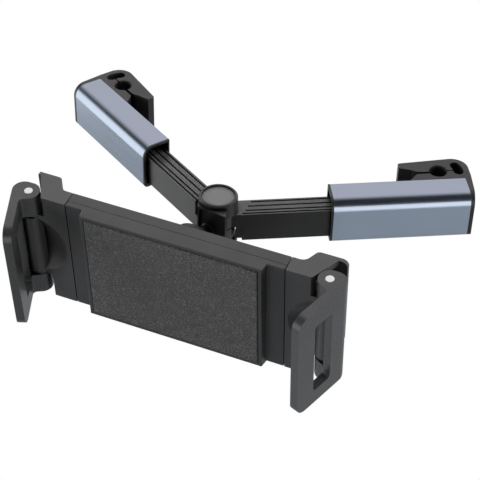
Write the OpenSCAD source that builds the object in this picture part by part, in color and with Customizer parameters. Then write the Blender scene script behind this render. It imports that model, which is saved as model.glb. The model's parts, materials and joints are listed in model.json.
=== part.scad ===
// Headrest tablet mount: two telescopic arms clip on the posts of a headrest and meet at a hub,
// which carries a sprung tablet holder on a ball joint.
// The origin is on the axis of the right post seat, halfway up its wall. Z runs along the posts,
// X from post to post and Y towards the rear seat's back, away from the tablet.

/* [Arms] */
// Angle of the right arm behind the sideways line
arm_angle_right = 32; // [24:1:60]
// Angle of the left arm behind the sideways line
arm_angle_left = 29; // [24:1:60]
// Distance from the hub's axis to the inner end of each cover
arm_reach = 78.5; // [60:0.5:110]
// Width of a bar, front to back
bar_w = 16.8; // [14:0.1:18]
// Height of a bar
bar_h = 22; // [18:0.5:23]
// Drop of a bar's top below the top of the cover
bar_drop = 9.5; // [8:0.1:10]
// Length of bar inside its housing
bar_overlap = 54; // [40:1:54]
// Gap between a bar and its channel on each side
bar_gap = 0.25; // [0.1:0.05:0.4]
// Width of a groove in a bar's top
groove_w = 1.2; // [0.5:0.1:1.6]
// Depth of a groove in a bar's top
groove_d = 1.5; // [0.4:0.1:2]
// Distance from the hub's axis to the end of the front groove
groove_start = 16; // [15:0.5:24]
// Distance from each groove's end to the next one's
groove_step = 2.4; // [0:0.1:3]

/* [Covers] */
// Length of an aluminium cover
cover_len = 96; // [92:0.5:130]
// Depth of a cover, front to back
cover_depth = 22; // [21.5:0.1:26]
// Height of a cover
cover_h = 34.5; // [33.5:0.5:42]
// Wall of a cover
cover_wall = 1.2; // [0.8:0.1:1.4]
// Radius of a cover's long top edge
cover_top_r = 6; // [3:0.5:7]
// Radius of a cover's long bottom edge
cover_bottom_r = 3; // [1.5:0.5:4]
// Gap between a cover and the housing under it
cover_fit = 0.1; // [0.05:0.05:0.2]
// Length of the collar at a cover's inner end
collar_len = 1.4; // [1:0.1:4]
// Wall of the collar round the mouth of the housing
collar_wall = 1.8; // [1.4:0.1:3]
// Depth of the mouth in the housing's inner end
mouth_len = 7; // [3:0.5:12]
// Length of the moulded end beyond a cover, at the clip
end_len = 4.6; // [3:0.1:8]
// Length that the moulded end loses towards its front
end_slant = 2; // [0:0.1:2.5]

/* [Post clip] */
// Radius of the post seat
seat_r = 6.2; // [5:0.1:6.5]
// Lead-in at the seat's two mouths
seat_lead = 0.6; // [0.2:0.1:1]
// Wall between the cover and the seat
seat_wall = 3.4; // [3:0.1:4.5]
// Gap of the neck that the post is pushed through
neck_gap = 2.2; // [1.6:0.1:3]
// Thickness of the far finger behind the seat
finger_t = 7.8; // [7:0.1:10]
// Distance from the seat's axis to the far finger's tip
finger_len = 27; // [25:0.5:30]
// Thickness of the far finger at its tip
finger_tip_t = 8.4; // [7:0.1:9]
// Slant of the finger's outer face from the corner to the tip
finger_slant = 2.8; // [2:0.1:3.5]
// Radius of the round lobe at the funnel's near side
lobe_r = 3.7; // [3:0.1:4.5]
// Distance from the seat's axis to the lobe's
lobe_back = 14; // [12:0.5:16]
// Radius of the bulge at the funnel's far side
bulge_r = 10; // [7:0.5:12]
// Radius of the clip's outer corner
clip_r = 11; // [8:0.5:13]
// Width of the curved relief slot
relief_w = 7.2; // [3:0.1:7.6]
// Wall between the seat and the relief slot
relief_wall = 4.6; // [4:0.1:6]
// Wall between the relief slot and the clip's end
end_wall = 4.1; // [3:0.1:6]
// Angle of the relief slot's front end about the seat
relief_from = -6; // [-12:1:0]
// Angle of the relief slot's back end about the seat
relief_to = 24; // [12:1:30]
// Width of the slit that lets the seat open
slit_w = 1; // [0.6:0.1:1.5]

/* [Hub] */
// Turn of the hub from the middle of the two arms
hub_turn = -6.3; // [-7:0.1:7]
// Radius of the hub's drum
hub_r = 13.5; // [13:0.1:15]
// Height of the drum's cap above the covers
hub_rise = 2.3; // [0:0.1:4]
// Thickness of the drum's bottom plate
hub_floor = 3.5; // [2:0.1:6]
// Thickness of the drum's front wall
hub_wall = 1.4; // [1:0.1:1.8]
// Reach of the block on the drum's front to the left of the hub's axis
block_left = 7.5; // [7.2:0.1:11]
// The same to the right
block_right = 15; // [9:0.1:16]
// Reach of the block in front of the hub's axis
block_reach = 14.6; // [14.4:0.1:17]
// Drop of the block's top below the cap's
block_drop = 3.4; // [1.2:0.1:5]
// Depth of the recessed panel in the block's front
panel_d = 1; // [0.4:0.1:1.1]
// Edge of the block round the panel
panel_edge = 1.4; // [1:0.1:1.6]
// Radius of the panel's corners
panel_r = 2.4; // [1:0.1:4]
// Radius of the recess in the drum's cap
disc_r = 11.4; // [9:0.1:11.8]
// Depth of the disc below the drum's rim
disc_drop = 1.1; // [0.5:0.1:2]
// Thickness of the disc
disc_t = 1.6; // [1:0.1:3]
// Radius of the pivot sleeve
sleeve_r = 4; // [3:0.1:5]
// Radius of the pivot screw
screw_r = 2.5; // [2:0.1:2.6]
// Gap between the drum and the full height of a bar
bar_clear = 2.4; // [0.5:0.1:4]
// Running gap of the bars' rings, round and above
ring_gap = 0.3; // [0.2:0.05:0.4]
// Thickness of the friction washer between the rings
washer_t = 0.8; // [0.5:0.1:1.5]

/* [Ball joint] */
// Radius of the ball
ball_r = 8.5; // [7:0.1:8.5]
// Distance from the hub's axis to the ball's centre
ball_reach = 35; // [34:0.5:42]
// Drop of the ball's centre below the top of the covers
ball_drop = 19; // [17:0.5:22]
// Radius of the neck behind the ball
neck_r = 4.4; // [3.5:0.1:4.5]
// Gap between the ball's curved faces
ball_gap = 0.3; // [0.15:0.05:0.3]
// Thickness of the friction liner
liner_t = 1.8; // [1:0.1:1.8]
// Half angle of the socket's mouth
mouth_angle = 60; // [56:1:62]
// Outer radius of the ring nut
nut_r = 18.5; // [17.5:0.5:22]
// Number of ribs round the ring nut
nut_ribs = 14; // [8:1:18]
// Turn of the holder to the side
holder_pan = 3.3; // [-6:0.1:6]
// Lean of the holder's top towards the viewer
holder_tilt = 6.8; // [0:0.1:10]
// Turn of the holder about the socket's axis
holder_spin = 0.9; // [-5:0.1:5]

/* [Holder] */
// Width of the holder's housing between the jaws
house_w = 157; // [120:1:180]
// Height of the housing and the jaws
house_h = 95; // [88:0.5:110]
// Depth of the housing
house_d = 12.4; // [12:0.1:14]
// Depth of the housing's front shell
front_d = 4.4; // [4:0.1:5]
// Distance from each end of the housing to the raised platform
plate_inset = 13.5; // [8:0.5:20]
// Height of the platform's face in front of the housing
plate_d = 6.3; // [4:0.1:8]
// Spread of the platform's sides towards the housing
plate_flare = 1.2; // [0:0.1:3]
// Wall of the front shell
shell_wall = 2.4; // [1.6:0.1:3]
// Thickness of the ribs inside the front shell
rib_t = 1.6; // [1:0.1:2.4]
// Width of the platform's bare border round the pad
pad_border = 2.6; // [1.5:0.1:5]
// Thickness of the grip pad
pad_t = 1.6; // [1:0.1:2.5]
// Height of the pad's face above the border
pad_proud = 0.5; // [0.2:0.1:1]
// Gap between the pad and its recess
pad_gap = 0.3; // [0.1:0.05:0.5]
// Gap between the housing and a jaw at rest
seam_gap = 0.5; // [0.3:0.1:1]
// Distance from the housing's top to the ball's axis
socket_drop = 32; // [30:0.5:48]
// Distance from the housing's back to the ball's centre
socket_back = 12.5; // [12.3:0.1:16]
// Thickness of the jaws' tongues
tongue_t = 4; // [3:0.1:4.2]
// Distance from the middle to the inner end of a tongue
tongue_in = 18.5; // [17:0.5:26]
// Distance from the housing's top and bottom to a tongue
tongue_edge = 10; // [8:0.5:16]
// Gap round a tongue
tongue_gap = 0.3; // [0.2:0.05:0.4]

/* [Jaws and feet] */
// Length of a jaw's front face beyond the housing
jaw_len = 18.5; // [16:0.5:22]
// Distance from the front face's end to the edge of the right jaw's back plate
flange_out = 16.8; // [14:0.1:22]
// The same for the left jaw
flange_out_left = 12.6; // [12:0.1:22]
// Radius of the right back plate's corners
flange_r = 4.5; // [1:0.5:8]
// Depth from the front face to the back of the back plate
flange_back = 23.1; // [22:0.1:26]
// Thickness of the back plate
flange_t = 2.8; // [2:0.1:3.5]
// Height that the back plate loses against the housing
flange_short = 17; // [5:1:30]
// Wall at the top of the jaw's pocket
pocket_wall = 4.6; // [3:0.1:6]
// Distance from the front face's end to the foot's pins
pin_out = 10.8; // [10.2:0.1:12]
// Depth of the foot's pins behind the front face
pin_back = 3.3; // [2.5:0.1:3.8]
// Radius of the foot's pins
pin_r = 3; // [2:0.1:4]
// Length of each pin held by the jaw's lug
pin_hold = 2.8; // [2:0.1:3.6]
// Running gap of the foot on its pins
pin_gap = 0.06; // [0.02:0.01:0.1]
// Gap round a pin or sleeve where it is pressed in
press_gap = 0.03; // [0.01:0.01:0.05]
// Half the height of the finger scoop between a jaw's lugs
scoop_half = 25; // [18:0.5:26]
// Depth of the finger scoop
scoop_depth = 9; // [5:0.5:9.5]
// Wall behind the finger scoop
scoop_wall = 3.4; // [2:0.1:4]
// Radius of the foot's barrel
barrel_r = 7.8; // [7:0.1:8]
// Height of each end of the foot's barrel
knuckle_h = 17; // [10:0.5:20]
// Height that a foot loses against the housing
foot_short = 4; // [2:0.5:10]
// Length of a foot from its pins to its tip
foot_len = 42.7; // [36:0.1:55]
// Thickness of a foot's plate
foot_t = 6; // [4:0.1:6.4]
// Distance of the plate's outer face from the pin
foot_out = 11.4; // [11:0.1:12.5]
// Lean of a foot towards the other one
foot_lean = 20; // [10:1:25]
// Radius of a foot's front corners
foot_r = 9; // [4:0.5:12]
// Radius of a foot's corner below its shoulder
heel_r = 9; // [2:0.5:10]
// Radius of the shoulder outside the barrel
shoulder_r = 8; // [7.8:0.1:8.6]
// Width of the slot in a foot
slot_w = 16.6; // [8:0.1:17]
// Distance from the pins to the slot
slot_start = 10; // [9.5:0.1:12]
// Distance from the foot's top to the slot
slot_drop = 15.5; // [12:0.5:25]
// Distance from the slot to the foot's bottom
slot_rise = 12.5; // [10:0.5:30]
// Radius of the slot's corners
slot_r = 2.4; // [1:0.1:5]

/* [Hidden] */

black = [0.12, 0.12, 0.12];
charcoal = [0.22, 0.22, 0.22];
aluminium = [0.52, 0.57, 0.65];
steel = [0.85, 0.85, 0.86];

// Arms, measured from the hub's axis with the covers' top at zero
cover_back = bar_w / 2 + 1.4;
cover_front = cover_back - cover_depth;
arm_end = arm_reach + cover_len + end_len;
bar_end = arm_reach + bar_overlap;
channel_end = arm_reach + cover_len - 4;
seat_reach = arm_end - end_wall - relief_w - relief_wall - seat_r;
seat_back = cover_back + seat_wall + seat_r;
finger_back = seat_back + seat_r + finger_t;
finger_tip = seat_reach - finger_len;
relief_r = seat_r + relief_wall + relief_w / 2;
// Grooves in a bar's top, measured from its middle to the back
groove_places = [-6.6, -3.4, 1.4, 6.2];
bar_middle = -bar_drop - bar_h / 2;
ring_r = hub_r - hub_wall - ring_gap;
bar_start = hub_r + bar_clear;
// Half angle of the drum's front wall, between the two bars
front_half = 60;

// World place of the right seat, which becomes the origin
seat_x = seat_reach * cos(arm_angle_right) - seat_back * sin(arm_angle_right);
seat_y = seat_reach * sin(arm_angle_right) + seat_back * cos(arm_angle_right);

// Holder
ball_h_y = house_d + socket_back;
liner_r = ball_r + ball_gap + liner_t;
cup_r = liner_r + ball_gap;
boss_r = cup_r + 2.6;
nut_bore = boss_r + ball_gap;
nut_front = house_d + 1;
nut_len = socket_back + 6.5;
plate_w = house_w - 2 * plate_inset;
rib_bays = 4;
hollow_w = plate_w - 2 * shell_wall;
hollow_y = pad_t - pad_proud - plate_d + shell_wall;
bay_pitch = (hollow_w + rib_t) / rib_bays;
tongue_y = front_d + 0.4 + tongue_gap;
tongue_len = house_w / 2 - tongue_in;
window_h = 14;
spring_r = 1.7;
spring_in = 13;
spring_out = house_w / 2 - 14;
rib_r = 1.2;
facets = 48;

// Shell screws: half the distance between the two columns, and the rows' heights
screw_half = 6;
screw_rows = [12, 30];
screw_hole_r = 1.5;
screw_head_r = 2.6;
screw_head_h = 2;
screw_shank_r = 1.2;
screw_sink = 2.4;

// Jaws and feet
jaw_in = house_w / 2 + seam_gap;
jaw_reach = house_w / 2 + jaw_len;
pin_reach = jaw_reach + pin_out;
foot_h = house_h - foot_short;
flange_h = house_h - flange_short;
slot_h = foot_h - slot_drop - slot_rise;
lug_start = knuckle_h + ring_gap;
scoop_r = (scoop_half * scoop_half + scoop_depth * scoop_depth) / (2 * scoop_depth);
// The scoop's middle, in front of the line between the two pins
scoop_x = pin_reach - 1.8;
pin_proud = 0.2;

function arc(c, r, a0, a1, n = 12) =
    [for (i = [0:n]) [c[0] + r * cos(a0 + (a1 - a0) * i / n), c[1] + r * sin(a0 + (a1 - a0) * i / n)]];

// Moves the hub's frame to the part's origin
module from_seat() {
    translate([-seat_x, -seat_y, cover_h / 2]) children();
}

// Right arm's own frame: X along the arm, Y to the back
module right_arm() {
    from_seat() rotate([0, 0, arm_angle_right]) children();
}

module left_arm() {
    from_seat() mirror([1, 0, 0]) rotate([0, 0, arm_angle_left]) children();
}

module hub_frame() {
    from_seat() rotate([0, 0, hub_turn]) children();
}

// Liner's frame: centre of the ball, turned by the pan alone
module liner_frame() {
    hub_frame() translate([0, -ball_reach, -ball_drop]) rotate([0, 0, holder_pan - hub_turn]) children();
}

module nut_frame() {
    liner_frame() rotate([holder_tilt, 0, 0]) children();
}

// Holder's own frame: X to the right, Y to the back, zero at the middle of the front top edge
module holder_frame() {
    nut_frame() rotate([0, holder_spin, 0]) translate([0, -ball_h_y, socket_drop]) children();
}

module left_side() {
    mirror([1, 0, 0]) children();
}

// Cross-section of the cover's outside, as height against depth, open to the back
module cover_outline(inset) {
    f = cover_front + inset;
    rt = cover_top_r - inset;
    rb = cover_bottom_r - inset;
    polygon(concat([[cover_back, -inset]],
                   arc([f + rt, -inset - rt], rt, 90, 180, 10),
                   arc([f + rb, inset - cover_h + rb], rb, 180, 270, 8),
                   [[cover_back, inset - cover_h]]));
}

// Extrudes a depth and height outline along the arm
module along_arm(start, len) {
    translate([start, 0, 0]) rotate([90, 0, 90]) linear_extrude(height = len) children();
}

module cover() {
    along_arm(arm_reach, cover_len) difference() {
        cover_outline(0);
        cover_outline(cover_wall);
        translate([cover_back - 0.01, -cover_h]) square([1, cover_h]);
    }
}

module bar_hole(start, len) {
    translate([start, -bar_w / 2 - bar_gap, -bar_drop - bar_h - bar_gap])
        cube([len, bar_w + 2 * bar_gap, bar_h + 2 * bar_gap]);
}

// Mouth of the housing round the bar, down to the bar's bottom
module mouth_outline(inset) {
    intersection() {
        cover_outline(inset);
        translate([cover_front, -bar_drop - bar_h - bar_gap])
            square([bar_w / 2 + bar_gap - cover_front, cover_h]);
    }
}

module collar() {
    along_arm(arm_reach - collar_len, collar_len) difference() {
        cover_outline(0);
        mouth_outline(collar_wall);
    }
}

// Plan of the clip behind the cover
module clip_plan() {
    tip_r = 1.6;
    polygon(concat([[finger_tip, cover_back], [arm_end, cover_back]],
                   arc([arm_end - clip_r, finger_back - clip_r], clip_r, 0, 94, 14),
                   arc([finger_tip + tip_r, finger_back - finger_slant - tip_r], tip_r, 94, 180, 5)));
}

// Plan of the funnel between the near lobe and the far finger
module funnel_plan() {
    neck_t = seat_back - neck_gap / 2 - 1.3;
    lobe_x = seat_reach - lobe_back;
    seat_side = seat_reach - seat_r * 0.6;
    finger_in = finger_back - finger_tip_t;
    polygon(concat([[finger_tip - 2, cover_back], [lobe_x - 2 * lobe_r, cover_back]],
                   arc([lobe_x, neck_t - lobe_r], lobe_r, 150, 90, 6),
                   [[seat_side, neck_t], [seat_side, neck_t + neck_gap]],
                   arc([lobe_x + bulge_r / 4, neck_t + neck_gap + bulge_r], bulge_r, 270, 228, 8),
                   [[finger_tip - 0.1, finger_in], [finger_tip - 2, finger_in]]));
}

// Curved relief slot beyond the seat
module relief_plan() {
    a0 = relief_from;
    a1 = relief_to;
    rin = relief_r - relief_w / 2;
    rout = relief_r + relief_w / 2;
    polygon(concat(arc([0, 0], rout, a0, a1, 12),
                   arc([relief_r * cos(a1), relief_r * sin(a1)], relief_w / 2, a1, a1 + 180, 8),
                   arc([0, 0], rin, a1, a0, 12),
                   arc([relief_r * cos(a0), relief_r * sin(a0)], relief_w / 2, a0 + 180, a0 + 360, 8)));
}

// Wedge that slants the moulded end towards its front
module end_wedge() {
    translate([0, 0, -cover_h - 1]) linear_extrude(height = cover_h + 2)
        polygon([[arm_end - end_slant, cover_front - 1], [arm_end + 1, cover_front - 1],
                 [arm_end + 1, cover_back + seat_wall], [arm_end, cover_back + seat_wall]]);
}

module clamp_body() {
    core_wall = 1.4;
    difference() {
        union() {
            along_arm(arm_reach, cover_len) cover_outline(cover_wall + cover_fit);
            along_arm(arm_reach + cover_len, end_len) cover_outline(0);
            translate([0, 0, -cover_h]) linear_extrude(height = cover_h) clip_plan();
        }
        along_arm(arm_reach - 1, mouth_len + 1) mouth_outline(cover_wall + cover_fit + core_wall);
        bar_hole(arm_reach - 1, channel_end - arm_reach + 1);
        end_wedge();
        translate([0, 0, -cover_h - 1]) linear_extrude(height = cover_h + 2) funnel_plan();
        translate([seat_reach, seat_back, -cover_h - 1]) {
            cylinder(h = cover_h + 2, r = seat_r, $fn = facets);
            translate([0, 0, cover_h + 1 - seat_lead])
                cylinder(h = 2 * seat_lead, r1 = seat_r, r2 = seat_r + 2 * seat_lead, $fn = facets);
            translate([0, 0, 1 - seat_lead])
                cylinder(h = 2 * seat_lead, r1 = seat_r + 2 * seat_lead, r2 = seat_r, $fn = facets);
            translate([seat_r - 0.5, -slit_w / 2, 0]) cube([relief_wall + 1, slit_w, cover_h + 2]);
            linear_extrude(height = cover_h + 2) relief_plan();
        }
    }
}

// One telescopic bar; its ring is the upper or the lower of the two on the hub
module bar(ring_top, ring_h) {
    difference() {
        union() {
            translate([bar_start, -bar_w / 2, -bar_drop - bar_h]) cube([bar_end - bar_start, bar_w, bar_h]);
            translate([0, -bar_w / 2, ring_top - ring_h]) cube([bar_start + 1, bar_w, ring_h]);
            translate([0, 0, ring_top - ring_h]) cylinder(h = ring_h, r = ring_r, $fn = facets);
        }
        translate([0, 0, ring_top - ring_h - 1])
            cylinder(h = ring_h + 2, r = sleeve_r + pin_gap, $fn = facets);
        for (i = [0:len(groove_places) - 1])
            translate([groove_start + i * groove_step, groove_places[i] - groove_w / 2, -bar_drop - groove_d])
                cube([bar_end, groove_w, groove_d + 1]);
    }
}

ring_h = (bar_h - washer_t) / 2 - 0.1;

module drum_sector(r0, r1, h) {
    difference() {
        intersection() {
            cylinder(h = h, r = r1, $fn = 72);
            translate([0, 0, -1]) linear_extrude(height = h + 2)
                polygon(concat([[0, 0]], arc([0, 0], 3 * r1, 270 - front_half, 270 + front_half, 6)));
        }
        translate([0, 0, -1]) cylinder(h = h + 2, r = r0, $fn = 72);
    }
}

module hub_drum() {
    cap_h = bar_drop + hub_rise - ring_gap;
    floor_top = -bar_drop - bar_h - ring_gap;
    block_low = floor_top - hub_floor;
    front_h = bar_h + 2 * ring_gap;
    side = hub_r * sin(front_half);
    shoulder = hub_r * cos(front_half);
    difference() {
        union() {
            translate([0, 0, hub_rise - cap_h]) cylinder(h = cap_h - 1, r = hub_r, $fn = 72);
            translate([0, 0, hub_rise - 1]) cylinder(h = 1, r1 = hub_r, r2 = hub_r - 0.8, $fn = 72);
            translate([0, 0, floor_top - hub_floor]) cylinder(h = hub_floor, r = hub_r, $fn = 72);
            translate([0, 0, floor_top]) drum_sector(hub_r - hub_wall, hub_r, front_h);
            // Square block in front of the drum
            translate([0, 0, block_low]) linear_extrude(height = hub_rise - block_drop - block_low)
                difference() {
                    polygon([[-side, -shoulder], [-block_left, -block_reach], [block_right, -block_reach],
                             [side, -shoulder]]);
                    circle(r = hub_r - hub_wall / 2, $fn = 72);
                }
        }
        // Recessed panel in the block's front, where the ball's neck stands
        translate([0, -block_reach + panel_d, block_low + panel_edge]) rotate([90, 0, 0])
            linear_extrude(height = panel_d + 1) offset(r = panel_r)
                translate([-block_left + panel_edge + panel_r, panel_r])
                    square([block_left + block_right - 2 * panel_edge - 2 * panel_r,
                            hub_rise - block_drop - block_low - 2 * panel_edge - 2 * panel_r]);
        translate([0, 0, hub_rise - disc_drop - disc_t])
            cylinder(h = disc_drop + disc_t + 1, r = disc_r, $fn = 72);
        translate([0, 0, floor_top - hub_floor - 1])
            cylinder(h = hub_rise - floor_top + hub_floor + 2, r = sleeve_r + press_gap, $fn = facets);
    }
}

module hub_body() {
    color(black) hub_frame() hub_drum();
}

module hub_disc() {
    color([0.5, 0.5, 0.5]) hub_frame() translate([0, 0, hub_rise - disc_drop - disc_t])
        cylinder(h = disc_t, r = disc_r - 0.1, $fn = 72);
}

sleeve_top = hub_rise - disc_drop - disc_t;
sleeve_bottom = -bar_drop - bar_h - ring_gap - hub_floor;

module pivot_sleeve() {
    color(steel) hub_frame() difference() {
        translate([0, 0, sleeve_bottom]) cylinder(h = sleeve_top - sleeve_bottom, r = sleeve_r, $fn = facets);
        translate([0, 0, sleeve_bottom - 1])
            cylinder(h = sleeve_top - sleeve_bottom - 3, r = screw_r + 0.1, $fn = facets);
    }
}

module pivot_screw() {
    head_h = 2.4;
    color(steel) hub_frame() difference() {
        union() {
            translate([0, 0, sleeve_bottom - head_h]) cylinder(h = head_h, r = 2 * screw_r, $fn = facets);
            translate([0, 0, sleeve_bottom]) cylinder(h = 20, r = screw_r, $fn = facets);
        }
        translate([0, 0, sleeve_bottom - head_h - 1]) cylinder(h = 2.4, r = screw_r * 0.8, $fn = 6);
    }
}

module friction_washer() {
    color(steel) hub_frame() translate([0, 0, bar_middle - washer_t / 2]) difference() {
        cylinder(h = washer_t, r = ring_r - 1, $fn = facets);
        translate([0, 0, -1]) cylinder(h = washer_t + 2, r = sleeve_r + pin_gap, $fn = facets);
    }
}

module ball_stud() {
    color(black) hub_frame() translate([0, -ball_reach, -ball_drop]) rotate([-90, 0, 0]) {
        neck_len = ball_reach - block_reach + panel_d;
        foot_cone = 1.2;
        sphere(r = ball_r, $fn = 72);
        cylinder(h = neck_len, r = neck_r, $fn = facets);
        translate([0, 0, neck_len - foot_cone])
            cylinder(h = foot_cone, r1 = neck_r, r2 = neck_r + foot_cone, $fn = facets);
    }
}

// Ring sector between two spheres, with its axis on Z and its mouth up
module liner_half_section() {
    a = 90 - mouth_angle;
    polygon(concat(arc([0, 0], ball_r + ball_gap, a, -68, 20), arc([0, 0], liner_r, -68, a, 20)));
}

module socket_liner() {
    color([0.85, 0.85, 0.82]) liner_frame() rotate([-90, 0, 0])
        rotate_extrude($fn = 72) liner_half_section();
}

module ring_nut() {
    lip_a = 90 - mouth_angle;
    mouth_r = cup_r * cos(lip_a);
    mouth_y = cup_r * sin(lip_a);
    back = nut_front + nut_len - ball_h_y;
    front = nut_front - ball_h_y;
    color(charcoal) nut_frame() rotate([-90, 0, 0]) {
        rotate_extrude($fn = 72)
            polygon(concat([[nut_bore, front], [nut_r, front], [nut_r, back - 3], [nut_r - 3, back],
                            [mouth_r + (back - mouth_y) * tan(mouth_angle) * 0.5, back]],
                           arc([0, 0], cup_r, lip_a, 6, 8),
                           [[nut_bore, cup_r * sin(6)]]));
        for (i = [0:nut_ribs - 1])
            rotate([0, 0, i * 360 / nut_ribs + 90]) translate([nut_r - 0.2, 0, front])
                cylinder(h = nut_len - 4, r = rib_r, $fn = 16);
    }
}

// Housing of the holder
module plate_profile() {
    top = plate_w / 2;
    base = plate_w / 2 + plate_flare;
    polygon([[-base, 0], [-top, -plate_d], [top, -plate_d], [base, 0]]);
}

module screw_places() {
    for (x = [-screw_half, screw_half], row = screw_rows)
        translate([x, 0, row - house_h]) children();
}

module front_shell() {
    pad_w = plate_w - 2 * pad_border;
    pad_h = house_h - 2 * pad_border;
    color(charcoal) holder_frame() difference() {
        union() {
            translate([-house_w / 2, 0, -house_h]) cube([house_w, front_d, house_h]);
            translate([0, 0, -house_h]) linear_extrude(height = house_h) plate_profile();
        }
        translate([-pad_w / 2, -plate_d - 1, -house_h + pad_border])
            cube([pad_w, 1 + pad_t - pad_proud, pad_h]);
        // Hollow behind the pad, between stiffening ribs
        for (i = [0:rib_bays - 1])
            translate([-hollow_w / 2 + i * bay_pitch, hollow_y, -house_h + shell_wall])
                cube([bay_pitch - rib_t, front_d - hollow_y + 1, house_h - 2 * shell_wall]);
        screw_places() translate([0, front_d + 1, 0]) rotate([90, 0, 0]) cylinder(h = 5, r = 1.3, $fn = 24);
    }
}

module grip_pad() {
    w = plate_w - 2 * pad_border - 2 * pad_gap;
    h = house_h - 2 * pad_border - 2 * pad_gap;
    edge = 0.4;
    color(charcoal) holder_frame() {
        translate([-w / 2, -plate_d - pad_proud + edge, -house_h + pad_border + pad_gap])
            cube([w, pad_t - edge, h]);
        translate([-w / 2 + edge, -plate_d - pad_proud, -house_h + pad_border + pad_gap + edge])
            cube([w - 2 * edge, edge, h - 2 * edge]);
    }
}

module rear_shell() {
    cavity_y = tongue_t + 2 * tongue_gap;
    color(charcoal) holder_frame() difference() {
        union() {
            translate([-house_w / 2, front_d, -house_h]) cube([house_w, house_d - front_d, house_h]);
            translate([0, house_d - 1, -socket_drop]) rotate([-90, 0, 0])
                cylinder(h = socket_back + 1, r = boss_r, $fn = 72);
        }
        for (s = [-1, 1])
            translate([s > 0 ? tongue_in - 1 : -house_w / 2 - 1, tongue_y - tongue_gap, -house_h + tongue_edge])
                cube([tongue_len + 2, cavity_y, house_h - 2 * tongue_edge]);
        // Spring channels between the middle and the cavities
        for (s = [-1, 1])
            translate([s > 0 ? spring_in - 1 : -tongue_in - 1, tongue_y - tongue_gap, -house_h / 2 - window_h / 2])
                cube([tongue_in - spring_in + 2, cavity_y, window_h]);
        translate([0, ball_h_y, -socket_drop]) sphere(r = cup_r, $fn = 72);
        screw_places() translate([0, front_d - 1, 0]) rotate([-90, 0, 0])
            cylinder(h = house_d, r = screw_hole_r, $fn = 24);
        screw_places() translate([0, house_d - screw_sink, 0]) rotate([-90, 0, 0])
            cylinder(h = screw_sink + 1, r = screw_head_r + 0.2, $fn = 24);
    }
}

module shell_screws() {
    shank = house_d - front_d + 1;
    color(steel) holder_frame() screw_places() translate([0, house_d - screw_sink, 0]) rotate([-90, 0, 0])
        difference() {
            union() {
                cylinder(h = screw_head_h, r = screw_head_r, $fn = 24);
                translate([0, 0, -shank + screw_sink - 2]) cylinder(h = shank, r = screw_shank_r, $fn = 24);
            }
            translate([0, 0, screw_head_h / 2]) cylinder(h = screw_head_h, r = screw_head_r / 2, $fn = 6);
        }
}

// Extension springs that pull the jaws in, one for each jaw
module jaw_springs() {
    y = tongue_y + tongue_t / 2;
    color(steel) holder_frame() for (s = [-1, 1])
        translate([s * spring_in, y, -house_h / 2]) rotate([0, s * 90, 0]) difference() {
            cylinder(h = spring_out - spring_in - 0.3, r = spring_r, $fn = 24);
            translate([0, 0, -1]) cylinder(h = spring_out - spring_in + 2, r = spring_r - 0.8, $fn = 24);
        }
}

// Plan of a jaw's end block, with a soft step from its top to its back
module jaw_plan() {
    step_r = 6;
    crest_r = 3.5;
    slope = 65;
    // Sideways way of the straight slope between the two arcs
    rise = flange_back - house_d - (step_r + crest_r) * (1 - cos(slope));
    step_x = jaw_reach - 13.1;
    crest_x = step_x + (step_r + crest_r) * sin(slope) + rise / tan(slope);
    polygon(concat([[jaw_in, 0], [jaw_reach - 0.8, 0], [jaw_reach + 0.2, 0.8], [jaw_reach + 12, flange_back]],
                   arc([crest_x, flange_back - crest_r], crest_r, 90, 90 + slope, 6),
                   arc([step_x, house_d + step_r], step_r, slope - 90, -90, 6),
                   [[jaw_in, house_d]]));
}

module rounded_plate(x0, x1, h, r) {
    translate([x0, 0, -h]) cube([x1 - r - x0, flange_t, h]);
    translate([x1 - r - 0.01, 0, -h + r]) cube([r + 0.01, flange_t, h - 2 * r]);
    for (z = [-r, -h + r])
        translate([x1 - r, flange_t, z]) rotate([90, 0, 0]) cylinder(h = flange_t, r = r, $fn = 32);
}

// Runs its children upward from both ends of the pins' line, the upper end upside down
module pin_ends() {
    for (end = [0, 1])
        translate([pin_reach, pin_back, -end * foot_h]) mirror([0, 0, 1 - end]) children();
}

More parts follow.
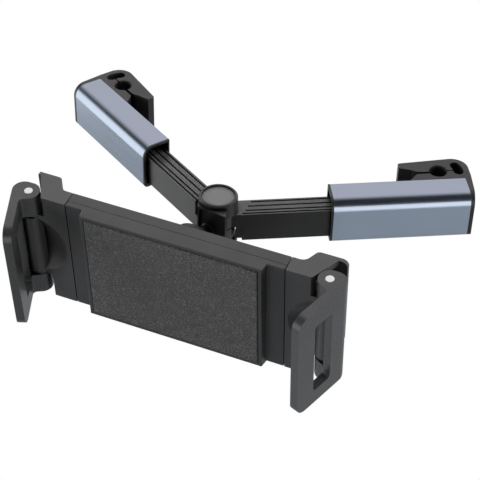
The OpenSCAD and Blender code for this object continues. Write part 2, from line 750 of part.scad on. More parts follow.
// Right jaw: end block, pocket, back plate, scooped lugs and tongue
module jaw(plate_out, plate_r) {
    plate_reach = jaw_reach + plate_out;
    lug_in = jaw_reach - 9;
    lug_out = 5.5;
    lug_h = foot_h - 2 * lug_start;
    difference() {
        union() {
            difference() {
                union() {
                    translate([0, 0, -flange_h]) linear_extrude(height = flange_h) jaw_plan();
                    translate([jaw_in, 0, -house_h]) cube([jaw_reach - jaw_in - 0.8, house_d, house_h]);
                    translate([0, flange_back - flange_t, 0])
                        rounded_plate(jaw_reach - 1, plate_reach, flange_h, plate_r);
                }
                // Pocket behind the foot's barrel
                translate([0, 0, -flange_h + pocket_wall]) linear_extrude(height = flange_h - 2 * pocket_wall)
                    polygon([[jaw_reach - 6, 3], [jaw_reach + 8, 3], [plate_reach + 1, flange_back - flange_t],
                             [jaw_reach + 0.5, flange_back - flange_t], [jaw_reach - 6, house_d - 2]]);
            }
            // Lugs for the pins and the wall behind the scoop, in one piece
            translate([0, 0, -lug_start - lug_h]) {
                translate([pin_reach, pin_back, 0]) cylinder(h = lug_h, r = barrel_r - 0.4, $fn = facets);
                translate([lug_in, 0, 0]) cube([pin_reach + lug_out - lug_in, scoop_depth + scoop_wall, lug_h]);
            }
        }
        // Room for the foot's two barrel ends
        pin_ends() translate([0, 0, -1]) cylinder(h = lug_start + 1, r = barrel_r + 0.5, $fn = facets);
        pin_ends() translate([0, 0, -1]) cylinder(h = lug_start + pin_hold + 1.1, r = pin_r + press_gap, $fn = facets);
        // Finger scoop between the lugs
        translate([scoop_x, scoop_depth - scoop_r, -foot_h / 2]) sphere(r = scoop_r, $fn = 96);
    }
    // Forked tongue, with a lug for the spring
    difference() {
        translate([tongue_in, tongue_y, -house_h + tongue_edge + tongue_gap])
            cube([tongue_len + seam_gap + 2, tongue_t, house_h - 2 * tongue_edge - 2 * tongue_gap]);
        translate([tongue_in - 1, tongue_y - 1, -house_h / 2 - window_h / 2])
            cube([spring_out - tongue_in + 1, tongue_t + 2, window_h]);
    }
}

// Foot in its own frame: pins at the origin, tip towards -Y, outside towards +X
module foot_plan() {
    inner_r = 3;
    polygon(concat([[foot_out - foot_t, -foot_len], [foot_out, -foot_len]],
                   arc([foot_out - shoulder_r, 1], shoulder_r, 0, 104, 16),
                   arc([0, 0], barrel_r, 108, 262, 22),
                   arc([foot_out - foot_t - inner_r, -barrel_r - 0.4 - inner_r], inner_r, 90, 0, 8)));
}

module foot() {
    thin_wall = 3;
    difference() {
        translate([0, 0, -foot_h]) linear_extrude(height = foot_h) foot_plan();
        // The barrel is cut away between its two ends
        translate([0, 0, -foot_h + knuckle_h]) linear_extrude(height = foot_h - 2 * knuckle_h)
            difference() {
                circle(r = 2 * barrel_r, $fn = 64);
                translate([foot_out - thin_wall, -foot_len]) square([2 * barrel_r, 2 * foot_len]);
                translate([foot_out - foot_t, -foot_len]) square([2 * barrel_r, foot_len - barrel_r]);
            }
        translate([0, 0, -foot_h + knuckle_h]) cylinder(h = foot_h - 2 * knuckle_h, r = barrel_r + 0.3, $fn = facets);
        translate([0, 0, -foot_h - 1]) cylinder(h = foot_h + 2, r = pin_r + pin_gap, $fn = facets);
        // Slot through the plate, with rounded corners
        translate([foot_out - foot_t - 1, -slot_start - slot_w + slot_r, -slot_drop - slot_h + slot_r])
            rotate([90, 0, 90]) linear_extrude(height = foot_t + 2) offset(r = slot_r)
                square([slot_w - 2 * slot_r, slot_h - 2 * slot_r]);
        // Rounded corner below the shoulder, outside the barrel
        translate([barrel_r, shoulder_r + 1, -foot_h]) rotate([0, 90, 0]) difference() {
            translate([-heel_r, -heel_r, 0]) cube([heel_r + 1, heel_r + 1, foot_out]);
            translate([-heel_r, -heel_r, -1]) cylinder(h = foot_out + 2, r = heel_r, $fn = 48);
        }
        // Rounded front corners
        for (z = [0, 1])
            translate([0, -foot_len, z * -foot_h]) mirror([0, 0, z]) rotate([0, 90, 0]) difference() {
                translate([-1, -1, 0]) cube([foot_r + 1, foot_r + 1, 40]);
                translate([foot_r, foot_r, -1]) cylinder(h = 42, r = foot_r, $fn = 48);
            }
    }
}

module at_pin() {
    translate([pin_reach, pin_back, 0]) rotate([0, 0, -foot_lean]) children();
}

module pins() {
    pin_ends() translate([0, 0, -pin_proud])
        cylinder(h = lug_start + pin_hold + pin_proud, r = pin_r, $fn = facets);
}

module right_clamp() { color(black) right_arm() clamp_body(); }
module left_clamp() { color(black) left_arm() clamp_body(); }
module right_cover() { color(aluminium) right_arm() cover(); }
module left_cover() { color(aluminium) left_arm() cover(); }
module right_collar() { color(black) right_arm() collar(); }
module left_collar() { color(black) left_arm() collar(); }
module right_bar() { color(black) right_arm() bar(-bar_drop, ring_h); }
module left_bar() { color(black) left_arm() bar(-bar_drop - bar_h + ring_h, ring_h); }
module right_jaw() { color(charcoal) holder_frame() jaw(flange_out, flange_r); }
module left_jaw() { color(charcoal) holder_frame() left_side() jaw(flange_out_left, 0.5); }
module right_foot() { color(charcoal) holder_frame() at_pin() foot(); }
module left_foot() { color(charcoal) holder_frame() left_side() at_pin() foot(); }
module right_pin() { color(steel) holder_frame() pins(); }
module left_pin() { color(steel) holder_frame() left_side() pins(); }

right_clamp();
right_cover();
right_collar();
right_bar();
left_clamp();
left_cover();
left_collar();
left_bar();
hub_body();
hub_disc();
pivot_sleeve();
pivot_screw();
friction_washer();
ball_stud();
socket_liner();
ring_nut();
front_shell();
rear_shell();
grip_pad();
shell_screws();
jaw_springs();
right_jaw();
right_foot();
right_pin();
left_jaw();
left_foot();
left_pin();
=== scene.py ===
import json
import math

import bmesh
import bpy
from mathutils import Matrix, Vector


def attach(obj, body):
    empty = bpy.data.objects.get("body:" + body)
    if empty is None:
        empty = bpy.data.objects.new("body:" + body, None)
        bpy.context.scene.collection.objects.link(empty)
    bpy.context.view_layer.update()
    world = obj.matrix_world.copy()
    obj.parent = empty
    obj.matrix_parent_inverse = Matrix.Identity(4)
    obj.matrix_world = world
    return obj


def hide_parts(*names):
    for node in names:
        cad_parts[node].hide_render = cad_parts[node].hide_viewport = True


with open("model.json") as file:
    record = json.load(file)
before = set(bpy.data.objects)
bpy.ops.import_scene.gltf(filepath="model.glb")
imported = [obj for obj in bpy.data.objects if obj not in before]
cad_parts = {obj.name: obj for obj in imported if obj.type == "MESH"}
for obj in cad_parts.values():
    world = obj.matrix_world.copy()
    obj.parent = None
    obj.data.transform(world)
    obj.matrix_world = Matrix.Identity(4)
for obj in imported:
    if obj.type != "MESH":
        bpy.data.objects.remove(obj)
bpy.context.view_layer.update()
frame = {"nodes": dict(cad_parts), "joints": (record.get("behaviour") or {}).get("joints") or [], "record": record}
mm = 0.001
bodyOf = {name: body for body, names in frame["record"]["behaviour"]["bodies"].items() for name in names}
slotOf = {part["node"]: part["material_slot"] for part in frame["record"]["subparts"]}
pivot = {joint["name"]: (Vector(joint.get("pos_m", (0, 0, 0))), Vector(joint["axis"]).normalized())
         for joint in frame["joints"]}        # a joint's place and its axis
noiseLow, noiseHigh = 0.3, 0.7                # most of a noise texture's values lie between these


def linear(hexColour):
    parts = [int(hexColour[i:i + 2], 16) / 255 for i in (1, 3, 5)]
    return [c / 12.92 if c <= 0.04045 else ((c + 0.055) / 1.055) ** 2.4 for c in parts] + [1.0]


def addNode(tree, kind, settings=None, sockets=None, stops=()):
    node = tree.nodes.new("ShaderNode" + kind)
    for name, value in (settings or {}).items():
        setattr(node, name, value)
    for name, value in (sockets or {}).items():
        if isinstance(value, bpy.types.NodeSocket):
            tree.links.new(value, node.inputs[name])
        else:
            node.inputs[name].default_value = value
    for number, (position, colour) in enumerate(stops):        # a colour ramp's two ends
        node.color_ramp.elements[number].position = position
        node.color_ramp.elements[number].color = linear(colour)
    return node


def newMaterial(name):
    material = bpy.data.materials.new(name)
    material.use_nodes = True
    tree = material.node_tree
    tree.nodes.clear()
    shader = addNode(tree, "BsdfPrincipled")
    addNode(tree, "OutputMaterial", sockets={"Surface": shader.outputs[0]})
    return material, tree, shader


# Moulded ABS or nylon from a spark-eroded mould: an even dark colour under a fine dull grain. The real grain is too
# fine to show, so it is drawn coarser. Inner corners and recesses get painted shade: occlusion darkens their colour
plasticLook = {
    "grainMm": 0.7, "grainDepth": 0.15, "bump": 0.2,
    "cloudMm": 30, "cloudFrom": 0.35, "cloudTo": 0.65, "low": "#313132", "high": "#353536",
    "roughness": 0.34, "roughSpread": 0.06, "gloss": 0.36, "ior": 1.53,
    "paintedShadeMm": 7, "corner": 0.05, "closed": 0.25, "open": 0.85, "paintedShadeRays": 8,
}


def mouldedPlastic(name, look):
    material, tree, shader = newMaterial(name)
    coords = addNode(tree, "TexCoord").outputs["Object"]
    grain = addNode(tree, "TexNoise", sockets={
        "Vector": coords, "Scale": 1 / (look["grainMm"] * mm), "Detail": 3.0})
    cloud = addNode(tree, "TexNoise", sockets={
        "Vector": coords, "Scale": 1 / (look["cloudMm"] * mm), "Detail": 2.0})
    tint = addNode(tree, "ValToRGB", sockets={"Fac": cloud.outputs[0]},
                   stops=((look["cloudFrom"], look["low"]), (look["cloudTo"], look["high"])))
    rough = addNode(tree, "MapRange", sockets={
        "Value": grain.outputs[0], "From Min": noiseLow, "From Max": noiseHigh,
        "To Min": look["roughness"] - look["roughSpread"], "To Max": look["roughness"] + look["roughSpread"]})
    bump = addNode(tree, "Bump", sockets={"Height": grain.outputs[0], "Strength": look["bump"],
                                          "Distance": look["grainMm"] * look["grainDepth"] * mm})
    # painted shade: ambient occlusion darkens the base colour in inner corners, recesses and between parts
    corners = addNode(tree, "AmbientOcclusion", {"samples": look["paintedShadeRays"]},
                      {"Distance": look["paintedShadeMm"] * mm})
    depth = addNode(tree, "MapRange", sockets={
        "Value": corners.outputs["AO"], "From Min": look["closed"], "From Max": look["open"],
        "To Min": look["corner"], "To Max": 1.0})
    shaded = addNode(tree, "Mix", {"data_type": "RGBA", "blend_type": "MULTIPLY"},
                     {0: 1.0, 6: tint.outputs[0], 7: depth.outputs[0]})
    tree.links.new(shaded.outputs[2], shader.inputs["Base Color"])
    tree.links.new(rough.outputs[0], shader.inputs["Roughness"])
    tree.links.new(bump.outputs[0], shader.inputs["Normal"])
    shader.inputs["IOR"].default_value = look["ior"]
    shader.inputs["Specular IOR Level"].default_value = look["gloss"]
    return material


# Aluminium sheet, bead-blasted and anodised: a cool blue-grey metal with a satin sheen, faintly streaked along the
# arm. The blasted grit is drawn coarser than it is, so that it shows
metalLook = {
    "streakMm": 1.2, "streakStretch": 0.04, "gritMm": 0.5, "gritDepth": 0.1, "bump": 0.02,
    "cloudMm": 60, "low": "#a9b4c4", "high": "#adb8c8",
    "roughness": 0.24, "smoother": 0.02, "rougher": 0.03,
}


def anodisedAluminium(name, look):
    material, tree, shader = newMaterial(name)
    coords = addNode(tree, "TexCoord").outputs["Object"]
    turned = addNode(tree, "Mapping", sockets={
        "Vector": coords, "Rotation": (0, 0, math.radians(-look["turn"]))})
    streaks = addNode(tree, "Mapping", sockets={
        "Vector": turned.outputs[0], "Scale": (look["streakStretch"], 1, 1)})
    lines = addNode(tree, "TexNoise", sockets={
        "Vector": streaks.outputs[0], "Scale": 1 / (look["streakMm"] * mm), "Detail": 2.0})
    blast = addNode(tree, "TexNoise", sockets={
        "Vector": coords, "Scale": 1 / (look["gritMm"] * mm), "Detail": 2.0})
    cloud = addNode(tree, "TexNoise", sockets={
        "Vector": coords, "Scale": 1 / (look["cloudMm"] * mm), "Detail": 1.0})
    tint = addNode(tree, "ValToRGB", sockets={"Fac": cloud.outputs[0]},
                   stops=((noiseLow, look["low"]), (noiseHigh, look["high"])))
    rough = addNode(tree, "MapRange", sockets={
        "Value": lines.outputs[0], "From Min": noiseLow, "From Max": noiseHigh,
        "To Min": look["roughness"] - look["smoother"], "To Max": look["roughness"] + look["rougher"]})
    bump = addNode(tree, "Bump", sockets={"Height": blast.outputs[0], "Strength": look["bump"],
                                          "Distance": look["gritMm"] * look["gritDepth"] * mm})
    tree.links.new(tint.outputs[0], shader.inputs["Base Color"])
    tree.links.new(rough.outputs[0], shader.inputs["Roughness"])
    tree.links.new(bump.outputs[0], shader.inputs["Normal"])
    shader.inputs["Metallic"].default_value = 1.0
    return material


# Soft rubber pressed with a leather grain: fine pale creases wander over a dark ground, denser in patches
padLook = {
    "warpMm": 2.0, "warpShare": 0.8, "cellMm": 2.0, "creaseFrom": 0.02, "creaseTo": 0.13,
    "patchMm": 6, "patchFrom": 0.25, "patchTo": 0.45, "grainDepth": 0.15, "bump": 0.6,
    "roughness": 0.5, "ior": 1.52, "low": "#2e2d2e", "high": "#666566",
}


def grainedRubber(name, look):
    material, tree, shader = newMaterial(name)
    coords = addNode(tree, "TexCoord").outputs["Object"]
    warp = addNode(tree, "TexNoise", sockets={
        "Vector": coords, "Scale": 1 / (look["warpMm"] * mm), "Detail": 2.0})
    moved = addNode(tree, "VectorMath", {"operation": "MULTIPLY_ADD"},
                    {0: warp.outputs["Color"], 1: (look["warpMm"] * look["warpShare"] * mm,) * 3, 2: coords})
    cells = addNode(tree, "TexVoronoi", {"feature": "DISTANCE_TO_EDGE"},
                    {"Vector": moved.outputs[0], "Scale": 1 / (look["cellMm"] * mm)})
    patches = addNode(tree, "TexNoise", sockets={
        "Vector": coords, "Scale": 1 / (look["patchMm"] * mm), "Detail": 2.0})
    crease = addNode(tree, "MapRange", sockets={
        "Value": cells.outputs["Distance"], "From Min": look["creaseFrom"], "From Max": look["creaseTo"],
        "To Min": 1.0, "To Max": 0.0})
    strength = addNode(tree, "MapRange", sockets={
        "Value": patches.outputs[0], "From Min": look["patchFrom"], "From Max": look["patchTo"]})
    grain = addNode(tree, "Math", {"operation": "MULTIPLY"}, {0: crease.outputs[0], 1: strength.outputs[0]})
    tint = addNode(tree, "ValToRGB", sockets={"Fac": grain.outputs[0]},
                   stops=((0.0, look["low"]), (1.0, look["high"])))
    bump = addNode(tree, "Bump", sockets={"Height": grain.outputs[0], "Strength": look["bump"],
                                          "Distance": look["cellMm"] * look["grainDepth"] * mm})
    tree.links.new(tint.outputs[0], shader.inputs["Base Color"])
    tree.links.new(bump.outputs[0], shader.inputs["Normal"])
    shader.inputs["Roughness"].default_value = look["roughness"]
    shader.inputs["IOR"].default_value = look["ior"]
    return material


# Turned and polished steel: near white, with faint clouds in the gloss where the polish is uneven
steelLook = {"markMm": 1.2, "roughness": 0.25, "roughSpread": 0.05, "low": "#f0f4f2", "high": "#fbfffd"}


def turnedSteel(name, look):
    material, tree, shader = newMaterial(name)
    coords = addNode(tree, "TexCoord").outputs["Object"]
    marks = addNode(tree, "TexNoise", sockets={
        "Vector": coords, "Scale": 1 / (look["markMm"] * mm), "Detail": 2.0})
    tint = addNode(tree, "ValToRGB", sockets={"Fac": marks.outputs[0]},
                   stops=((0.0, look["low"]), (1.0, look["high"])))
    rough = addNode(tree, "MapRange", sockets={
        "Value": marks.outputs[0],
        "To Min": look["roughness"] - look["roughSpread"], "To Max": look["roughness"] + look["roughSpread"]})
    tree.links.new(tint.outputs[0], shader.inputs["Base Color"])
    tree.links.new(rough.outputs[0], shader.inputs["Roughness"])
    shader.inputs["Metallic"].default_value = 1.0
    return material


# One material for each slot of the record
finishes = {
    "housing_plastic": mouldedPlastic("mouldedAbsHousing", {**plasticLook, "low": "#1f1f1f", "high": "#232323"}),
    "bar_plastic": mouldedPlastic("mouldedNylonBar", {**plasticLook, "low": "#363636", "high": "#3a3a3a"}),
    "holder_plastic": mouldedPlastic("mouldedAbsHolder", plasticLook),
    "disc_plastic": mouldedPlastic("satinAbsDisc", {      # a finer grain, duller and a paler grey
        **plasticLook, "bump": 0.1, "roughness": 0.45, "low": "#505050", "high": "#545454"}),
    "nylon": mouldedPlastic("naturalNylonLiner", {        # nylon without a pigment: milky white
        **plasticLook, "low": "#cfcdc4", "high": "#d6d4cc"}),
    "steel": turnedSteel("polishedSteel", steelLook),
    "pad_rubber": grainedRubber("leatherGrainedRubber", padLook),
}
# Pieces whose finish differs from their slot's: the sheet's streaks follow each arm. The hub and the nut, deep
# between
# arms and holder, get painted shade: a darker colour and a wide occlusion darkening. The jaws get painted light: a
# paler colour and weaker corner darkening. The feet get painted shade: a darker colour; they are also a little
# glossier
# painted shade: occlusion darkening over a wider reach and to a deeper dark than on the other plastics
shadedLook = {**plasticLook, "paintedShadeMm": 26, "corner": 0.03, "closed": 0.5, "open": 0.95}
hubPaintedShadeFinish = mouldedPlastic("mouldedNylonHubPaintedShade", {**shadedLook, "low": "#262626", "high": "#2a2a2a"})
nutPaintedShadeFinish = mouldedPlastic("mouldedNylonNutPaintedShade", {**shadedLook, "low": "#161616", "high": "#1a1a1a"})
# painted light: the jaws are a paler copy of the holder plastic, with weaker painted shade in their recesses
jawPaintedLightFinish = mouldedPlastic("mouldedAbsJawPaintedLight", {**plasticLook, "open": 0.62, "low": "#3a3a3b", "high": "#3e3e3f"})
# painted shade: the feet are a darker copy of the holder plastic
footPaintedShadeFinish = mouldedPlastic("mouldedAbsFootPaintedShade", {**plasticLook, "roughness": 0.3, "bump": 0.03, "gloss": 0.6,
                                               "low": "#2c2c2d", "high": "#303031"})
pieceFinish = {
    "right_cover": anodisedAluminium("anodisedSheetRight", {**metalLook, "turn": 32}),
    "left_cover": anodisedAluminium("anodisedSheetLeft", {**metalLook, "turn": -29}),
    "hub_body": hubPaintedShadeFinish, "ball_stud": hubPaintedShadeFinish, "ring_nut": nutPaintedShadeFinish,
    "right_jaw": jawPaintedLightFinish, "left_jaw": jawPaintedLightFinish, "right_foot": footPaintedShadeFinish, "left_foot": footPaintedShadeFinish,
}
print("materials ready")


nutTaper = {"coreMm": 13.6, "keep": 0.2}        # keep: share of the rim's height over the core left at the back


def taperedNut(bm, jointName):
    # The ring nut narrows towards its back, where the photo shows hardly anything of it over the holder
    place, axis = pivot[jointName]
    core = nutTaper["coreMm"] * mm
    along = [(v.co - place).dot(axis) for v in bm.verts]
    start, end = min(along), max(along)
    for v, depth in zip(bm.verts, along):
        out = v.co - place - axis * depth
        if out.length > core:
            share = 1 - (1 - nutTaper["keep"]) * (depth - start) / (end - start)
            v.co = place + axis * depth + out.normalized() * (core + (out.length - core) * share)


knuckle = {"radiusMm": 7.2, "lengthMm": 52.0, "segments": 64}


def jawKnuckle(bm, jointName):
    # Middle knuckle of a jaw, round the pins' line between the foot's two barrel ends
    place, axis = pivot[jointName]
    turn = axis.to_track_quat("Z", "Y").to_matrix().to_4x4()
    radius = knuckle["radiusMm"] * mm
    bmesh.ops.create_cone(bm, cap_ends=True, segments=knuckle["segments"], radius1=radius, radius2=radius,
                          depth=knuckle["lengthMm"] * mm, matrix=Matrix.Translation(place) @ turn)


# In mm from the hub's axis: "from" and "to" run along the bar, "near" and "far" across it, "low" and "high" up
barHeel = {"from": 13.9, "to": 17.0, "near": -8.2, "far": 1.0, "low": -12.4, "high": -2.2, "steps": 8}


def barEnd(bm, arm):
    # Heel of the bar under its ring: it follows the hub's round and closes the gap beside it
    place, outward = pivot[arm + "_swivel"][0], -pivot[arm + "_extension"][1]
    side = Vector((-outward.y, outward.x, 0))
    near, far, steps = barHeel["near"], barHeel["far"], barHeel["steps"]
    outline = []
    for step in range(steps + 1):
        across = near + (far - near) * step / steps
        outline.append((math.sqrt(barHeel["from"] ** 2 - across * across), across))
    rim = []
    for along, across in outline + [(barHeel["to"], far), (barHeel["to"], near)]:
        spot = place + (outward * along + side * across) * mm
        rim.append(bm.verts.new((spot.x, spot.y, barHeel["low"] * mm)))
    raised = bmesh.ops.extrude_face_region(bm, geom=[bm.faces.new(rim)])["geom"]
    lid = [v for v in raised if isinstance(v, bmesh.types.BMVert)]
    bmesh.ops.translate(bm, verts=lid, vec=(0, 0, (barHeel["high"] - barHeel["low"]) * mm))
    bmesh.ops.recalc_face_normals(bm, faces=bm.faces)


coverBend = {"madeMm": 6.0, "wantedMm": 9.0, "cuts": 12, "snapMm": 0.0001, "skipMm": 0.001}


def widerBend(bm, arm):
    # The upper front bend of an arm's cover, collar and housing gets the wide radius of the photo's sheet. What
    # lies out from the new bend's centre is drawn in by the share that brings the old outline to the new circle
    made, wanted = coverBend["madeMm"] * mm, coverBend["wantedMm"] * mm
    place, slide = pivot[arm + "_swivel"][0], pivot[arm + "_extension"][1]
    side = Vector((slide.y, -slide.x, 0))        # level, from the arm's front to its back
    cover = frame["nodes"][arm + "_cover"].data.vertices
    front = min((v.co - place).dot(side) for v in cover)
    top = max(v.co.z for v in cover)
    centre = place + side * (front + wanted)
    centre.z = top - wanted
    for step in range(coverBend["cuts"] + 1):        # cuts through the centre, so that the bend has enough facets
        turn = math.pi / 2 * step / coverBend["cuts"]
        bmesh.ops.bisect_plane(bm, geom=bm.verts[:] + bm.edges[:] + bm.faces[:],
                               dist=coverBend["snapMm"] * mm, plane_co=centre,
                               plane_no=side * math.sin(turn) + Vector((0, 0, math.cos(turn))))
    spare = wanted - made        # the old bend's centre lies this far out, both ways
    for v in bm.verts:
        ahead = front + wanted - (v.co - place).dot(side)
        above = v.co.z - (top - wanted)
        if min(ahead, above) <= coverBend["skipMm"] * mm:
            continue
        reach = math.hypot(ahead, above)
        toFront, toTop = ahead / reach, above / reach
        if wanted * toTop / toFront <= spare:          # leaves the old outline on its flat front
            edge = wanted / toFront
        elif wanted * toFront / toTop <= spare:        # or on its flat top
            edge = wanted / toTop
        else:                                          # or on its bend
            nearest = spare * (toFront + toTop)
            edge = nearest + math.sqrt(nearest ** 2 - 2 * spare ** 2 + made ** 2)
        shrink = wanted / edge - 1
        v.co -= side * (ahead * shrink)
        v.co.z += above * shrink


# Forms that the scene adds to a piece, with the joint or the arm that they belong to
addedForm = {
    "right_cover": (widerBend, "right"), "left_cover": (widerBend, "left"),
    "right_clamp": (widerBend, "right"), "left_clamp": (widerBend, "left"),
    "right_collar": (widerBend, "right"), "left_collar": (widerBend, "left"),
    "ring_nut": (taperedNut, "holder_spin"), "right_bar": (barEnd, "right"),
    "right_jaw": (jawKnuckle, "right_foot_fold"), "left_jaw": (jawKnuckle, "left_foot_fold"),
}
# The rounding of each piece's sharp edges
edgeRounding = {
    "right_clamp": {"mm": 0.5, "segments": 2},
    "left_clamp": {"mm": 0.5, "segments": 2},
    "right_cover": {"mm": 0.2, "segments": 2},
    "left_cover": {"mm": 0.2, "segments": 2},
    "right_collar": {"mm": 0.4, "segments": 2},
    "left_collar": {"mm": 0.4, "segments": 2},
    "right_bar": {"mm": 0.25, "segments": 2},
    "left_bar": {"mm": 0.25, "segments": 2},
    "hub_body": {"mm": 0.4, "segments": 2},
    "hub_disc": {"mm": 0.2, "segments": 2},
    "ring_nut": {"mm": 0.3, "segments": 2},
    "front_shell": {"mm": 0.5, "segments": 3},
    "rear_shell": {"mm": 0.4, "segments": 3},
    "right_jaw": {"mm": 0.5, "segments": 3},
    "left_jaw": {"mm": 0.5, "segments": 3},
    "right_foot": {"mm": 0.8, "segments": 3},
    "left_foot": {"mm": 0.8, "segments": 3},
    "right_pin": {"mm": 0.3, "segments": 2},
    "left_pin": {"mm": 0.3, "segments": 2},
    "grip_pad": {"mm": 0.3, "segments": 2},
}
meshCare = {"weldMm": 0.002, "flatDegrees": 0.5, "roundOverDegrees": 35, "creaseDegrees": 38}


def softenedPiece(nodeName, edge):
    # Copy of a moulded or cut piece with its sharp edges rounded as its tool leaves them
    bm = bmesh.new()
    bm.from_mesh(frame["nodes"][nodeName].data)
    bmesh.ops.remove_doubles(bm, verts=bm.verts, dist=meshCare["weldMm"] * mm)
    bmesh.ops.dissolve_limit(bm, angle_limit=math.radians(meshCare["flatDegrees"]),
                             verts=bm.verts, edges=bm.edges)
    if nodeName in addedForm:
        shape, which = addedForm[nodeName]
        shape(bm, which)
    limit = math.radians(meshCare["roundOverDegrees"])
    sharp = [e for e in bm.edges if e.is_manifold and e.calc_face_angle(0.0) > limit]
    bmesh.ops.bevel(bm, geom=sharp, offset=edge["mm"] * mm, offset_type="OFFSET", segments=edge["segments"],
                    profile=0.5, affect="EDGES", material=-1, clamp_overlap=True)
    mesh = bpy.data.meshes.new(nodeName + "Finished")
    bm.to_mesh(mesh)
    bm.free()
    mesh.shade_smooth()
    mesh.set_sharp_from_angle(angle=math.radians(meshCare["creaseDegrees"]))
    piece = bpy.data.objects.new(nodeName + "Finished", mesh)
    bpy.context.scene.collection.objects.link(piece)
    weighted = piece.modifiers.new("flatFaces", "WEIGHTED_NORMAL")
    weighted.keep_sharp = True
    piece.data.materials.append(pieceFinish.get(nodeName) or finishes[slotOf[nodeName]])
    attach(piece, bodyOf[nodeName])
    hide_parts(nodeName)
    return piece


for nodeName, edge in edgeRounding.items():
    piece = softenedPiece(nodeName, edge)
    print("finished", nodeName, len(piece.data.polygons), "faces")
for nodeName, piece in frame["nodes"].items():
    if nodeName not in edgeRounding:        # small round pieces keep their own mesh
        piece.data.materials.clear()
        piece.data.materials.append(pieceFinish.get(nodeName) or finishes[slotOf[nodeName]])
print("pieces ready")


stage = {"floorZ": -0.5, "floorSize": 2.2, "cameraColour": "#ffffff", "floorColour": "#b0b0b0",
         "roughness": 0.9, "mirrored": "#b3b7ba"}


def paleFloor():
    # Pale floor: the camera sees it white, gloss mirrors a light grey, and the rest is a plain painted surface
    material, tree, shader = newMaterial("paleFloorPaint")
    shader.inputs["Base Color"].default_value = linear(stage["floorColour"])
    shader.inputs["Roughness"].default_value = stage["roughness"]
    path = addNode(tree, "LightPath")
    white = addNode(tree, "Emission", sockets={"Color": linear(stage["cameraColour"]), "Strength": 1.0})
    mirrored = addNode(tree, "Emission", sockets={"Color": linear(stage["mirrored"]), "Strength": 1.0})
    inMetal = addNode(tree, "MixShader", sockets={
        0: path.outputs["Is Glossy Ray"], 1: shader.outputs[0], 2: mirrored.outputs[0]})
    seen = addNode(tree, "MixShader", sockets={
        0: path.outputs["Is Camera Ray"], 1: inMetal.outputs[0], 2: white.outputs[0]})
    tree.links.new(seen.outputs[0], tree.nodes["Material Output"].inputs["Surface"])
    bm = bmesh.new()
    bmesh.ops.create_grid(bm, x_segments=1, y_segments=1, size=stage["floorSize"] / 2)
    bmesh.ops.translate(bm, verts=bm.verts, vec=(0, 0, stage["floorZ"]))
    mesh = bpy.data.meshes.new("floor")
    bm.to_mesh(mesh)
    bm.free()
    floor = bpy.data.objects.new("floor", mesh)
    floor.data.materials.append(material)
    bpy.context.scene.collection.objects.link(floor)


paleFloor()


# The "To" and "From" values say where one part of the sky ends and the next is full: on the way from front (0) to
# back (1), and for the rise from the lower to the upper part on the direction's height
sky = {
    "front": "#ffffff", "overhead": "#242629", "back": "#c2bdbe", "low": "#9d9d9d", "shine": 1.6,
    "ceilingTo": 0.50, "backFrom": 0.68, "frontTo": 0.48, "lowFrom": 0.56, "riseFrom": 0.26, "riseTo": 0.44,
    "room": "#c8c8c8", "diffuse": 0.2, "cameraColour": "#ffffff",
}


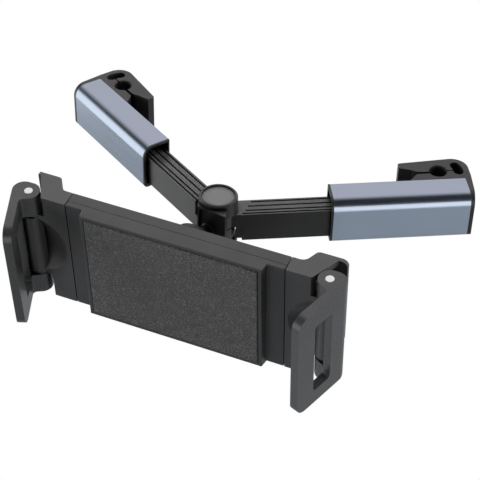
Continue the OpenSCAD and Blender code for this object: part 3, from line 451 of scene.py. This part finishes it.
def studioSky():
    # Studio as metal sees it: a bright box low in front, a dark ceiling and a pale wall behind. Matt surfaces get
    # an even room, and the camera sees white
    world = bpy.data.worlds.new("studioSky")
    world.use_nodes = True
    tree = world.node_tree
    tree.nodes.clear()
    direction = addNode(tree, "TexCoord").outputs["Generated"]
    split = addNode(tree, "SeparateXYZ", sockets={0: direction})
    depth = addNode(tree, "MapRange", sockets={"Value": split.outputs["Y"], "From Min": -1.0, "From Max": 1.0})
    upper = addNode(tree, "ValToRGB", sockets={"Fac": depth.outputs[0]},
                    stops=((sky["ceilingTo"], sky["overhead"]), (sky["backFrom"], sky["back"])))
    lower = addNode(tree, "ValToRGB", sockets={"Fac": depth.outputs[0]},
                    stops=((sky["frontTo"], sky["front"]), (sky["lowFrom"], sky["low"])))
    rise = addNode(tree, "MapRange", sockets={
        "Value": split.outputs["Z"], "From Min": sky["riseFrom"], "From Max": sky["riseTo"]})
    lit = addNode(tree, "Mix", {"data_type": "RGBA"},
                  {0: rise.outputs[0], 6: lower.outputs[0], 7: upper.outputs[0]})
    path = addNode(tree, "LightPath")
    studio = addNode(tree, "Background", sockets={"Color": lit.outputs[2], "Strength": sky["shine"]})
    soft = addNode(tree, "Background", sockets={"Color": linear(sky["room"]), "Strength": sky["diffuse"]})
    white = addNode(tree, "Background", sockets={"Color": linear(sky["cameraColour"]), "Strength": 1.0})
    byDiffuse = addNode(tree, "MixShader", sockets={
        0: path.outputs["Is Diffuse Ray"], 1: studio.outputs[0], 2: soft.outputs[0]})
    byCamera = addNode(tree, "MixShader", sockets={
        0: path.outputs["Is Camera Ray"], 1: byDiffuse.outputs[0], 2: white.outputs[0]})
    addNode(tree, "OutputWorld", sockets={"Surface": byCamera.outputs[0]})
    bpy.context.scene.world = world


studioSky()


lampRing = {"middle": (-0.115, -0.11, 0), "distance": 1.4, "size": 0.7}        # the lamps stand round the part
lamps = {
    "keyLeft": {"toward": (-0.95, -0.25, 0.2), "power": 32},
    "topBox": {"toward": (0.0, 0.05, 1.0), "power": 13},
    "sideRight": {"toward": (0.85, 0.45, 0.3), "power": 21},
    "backLeft": {"toward": (-0.4, 0.8, 0.4), "power": 34},
}
for name, lamp in lamps.items():
    light = bpy.data.lights.new(name, "AREA")
    light.energy = lamp["power"]
    light.size = lampRing["size"]
    toward = Vector(lamp["toward"]).normalized()
    stand = Matrix.Translation(Vector(lampRing["middle"]) + toward * lampRing["distance"])
    lampObject = bpy.data.objects.new(name, light)
    lampObject.visible_glossy = False        # the sky alone makes the reflections
    lampObject.matrix_world = stand @ toward.to_track_quat("Z", "Y").to_matrix().to_4x4()
    bpy.context.scene.collection.objects.link(lampObject)
print("light ready")


# The photo's viewpoint in metres, degrees and mm of lens
view = {"azimuth": 25.23, "elevation": 38.52, "roll": 1.46, "place": (0.2331, -0.8187, 0.6193),
        "focal": 110.0, "sensor": 36.0}


def photoCamera():
    azimuth, elevation, roll = (math.radians(view[key]) for key in ("azimuth", "elevation", "roll"))
    right = Vector((math.cos(azimuth), math.sin(azimuth), 0))
    up = Vector((-math.sin(azimuth) * math.sin(elevation), math.cos(azimuth) * math.sin(elevation),
                 math.cos(elevation)))
    back = right.cross(up)
    turned = right * math.cos(roll) + up * math.sin(roll)
    upright = up * math.cos(roll) - right * math.sin(roll)
    camera = bpy.data.objects.new("photoCamera", bpy.data.cameras.new("photoCamera"))
    camera.data.sensor_width = view["sensor"]
    camera.data.lens = view["focal"]
    camera.matrix_world = (Matrix.Translation(view["place"])
                           @ Matrix((turned, upright, back)).transposed().to_4x4())
    bpy.context.scene.collection.objects.link(camera)
    bpy.context.scene.camera = camera


photoCamera()
bpy.context.scene.view_settings.view_transform = "Standard"
print("camera ready")
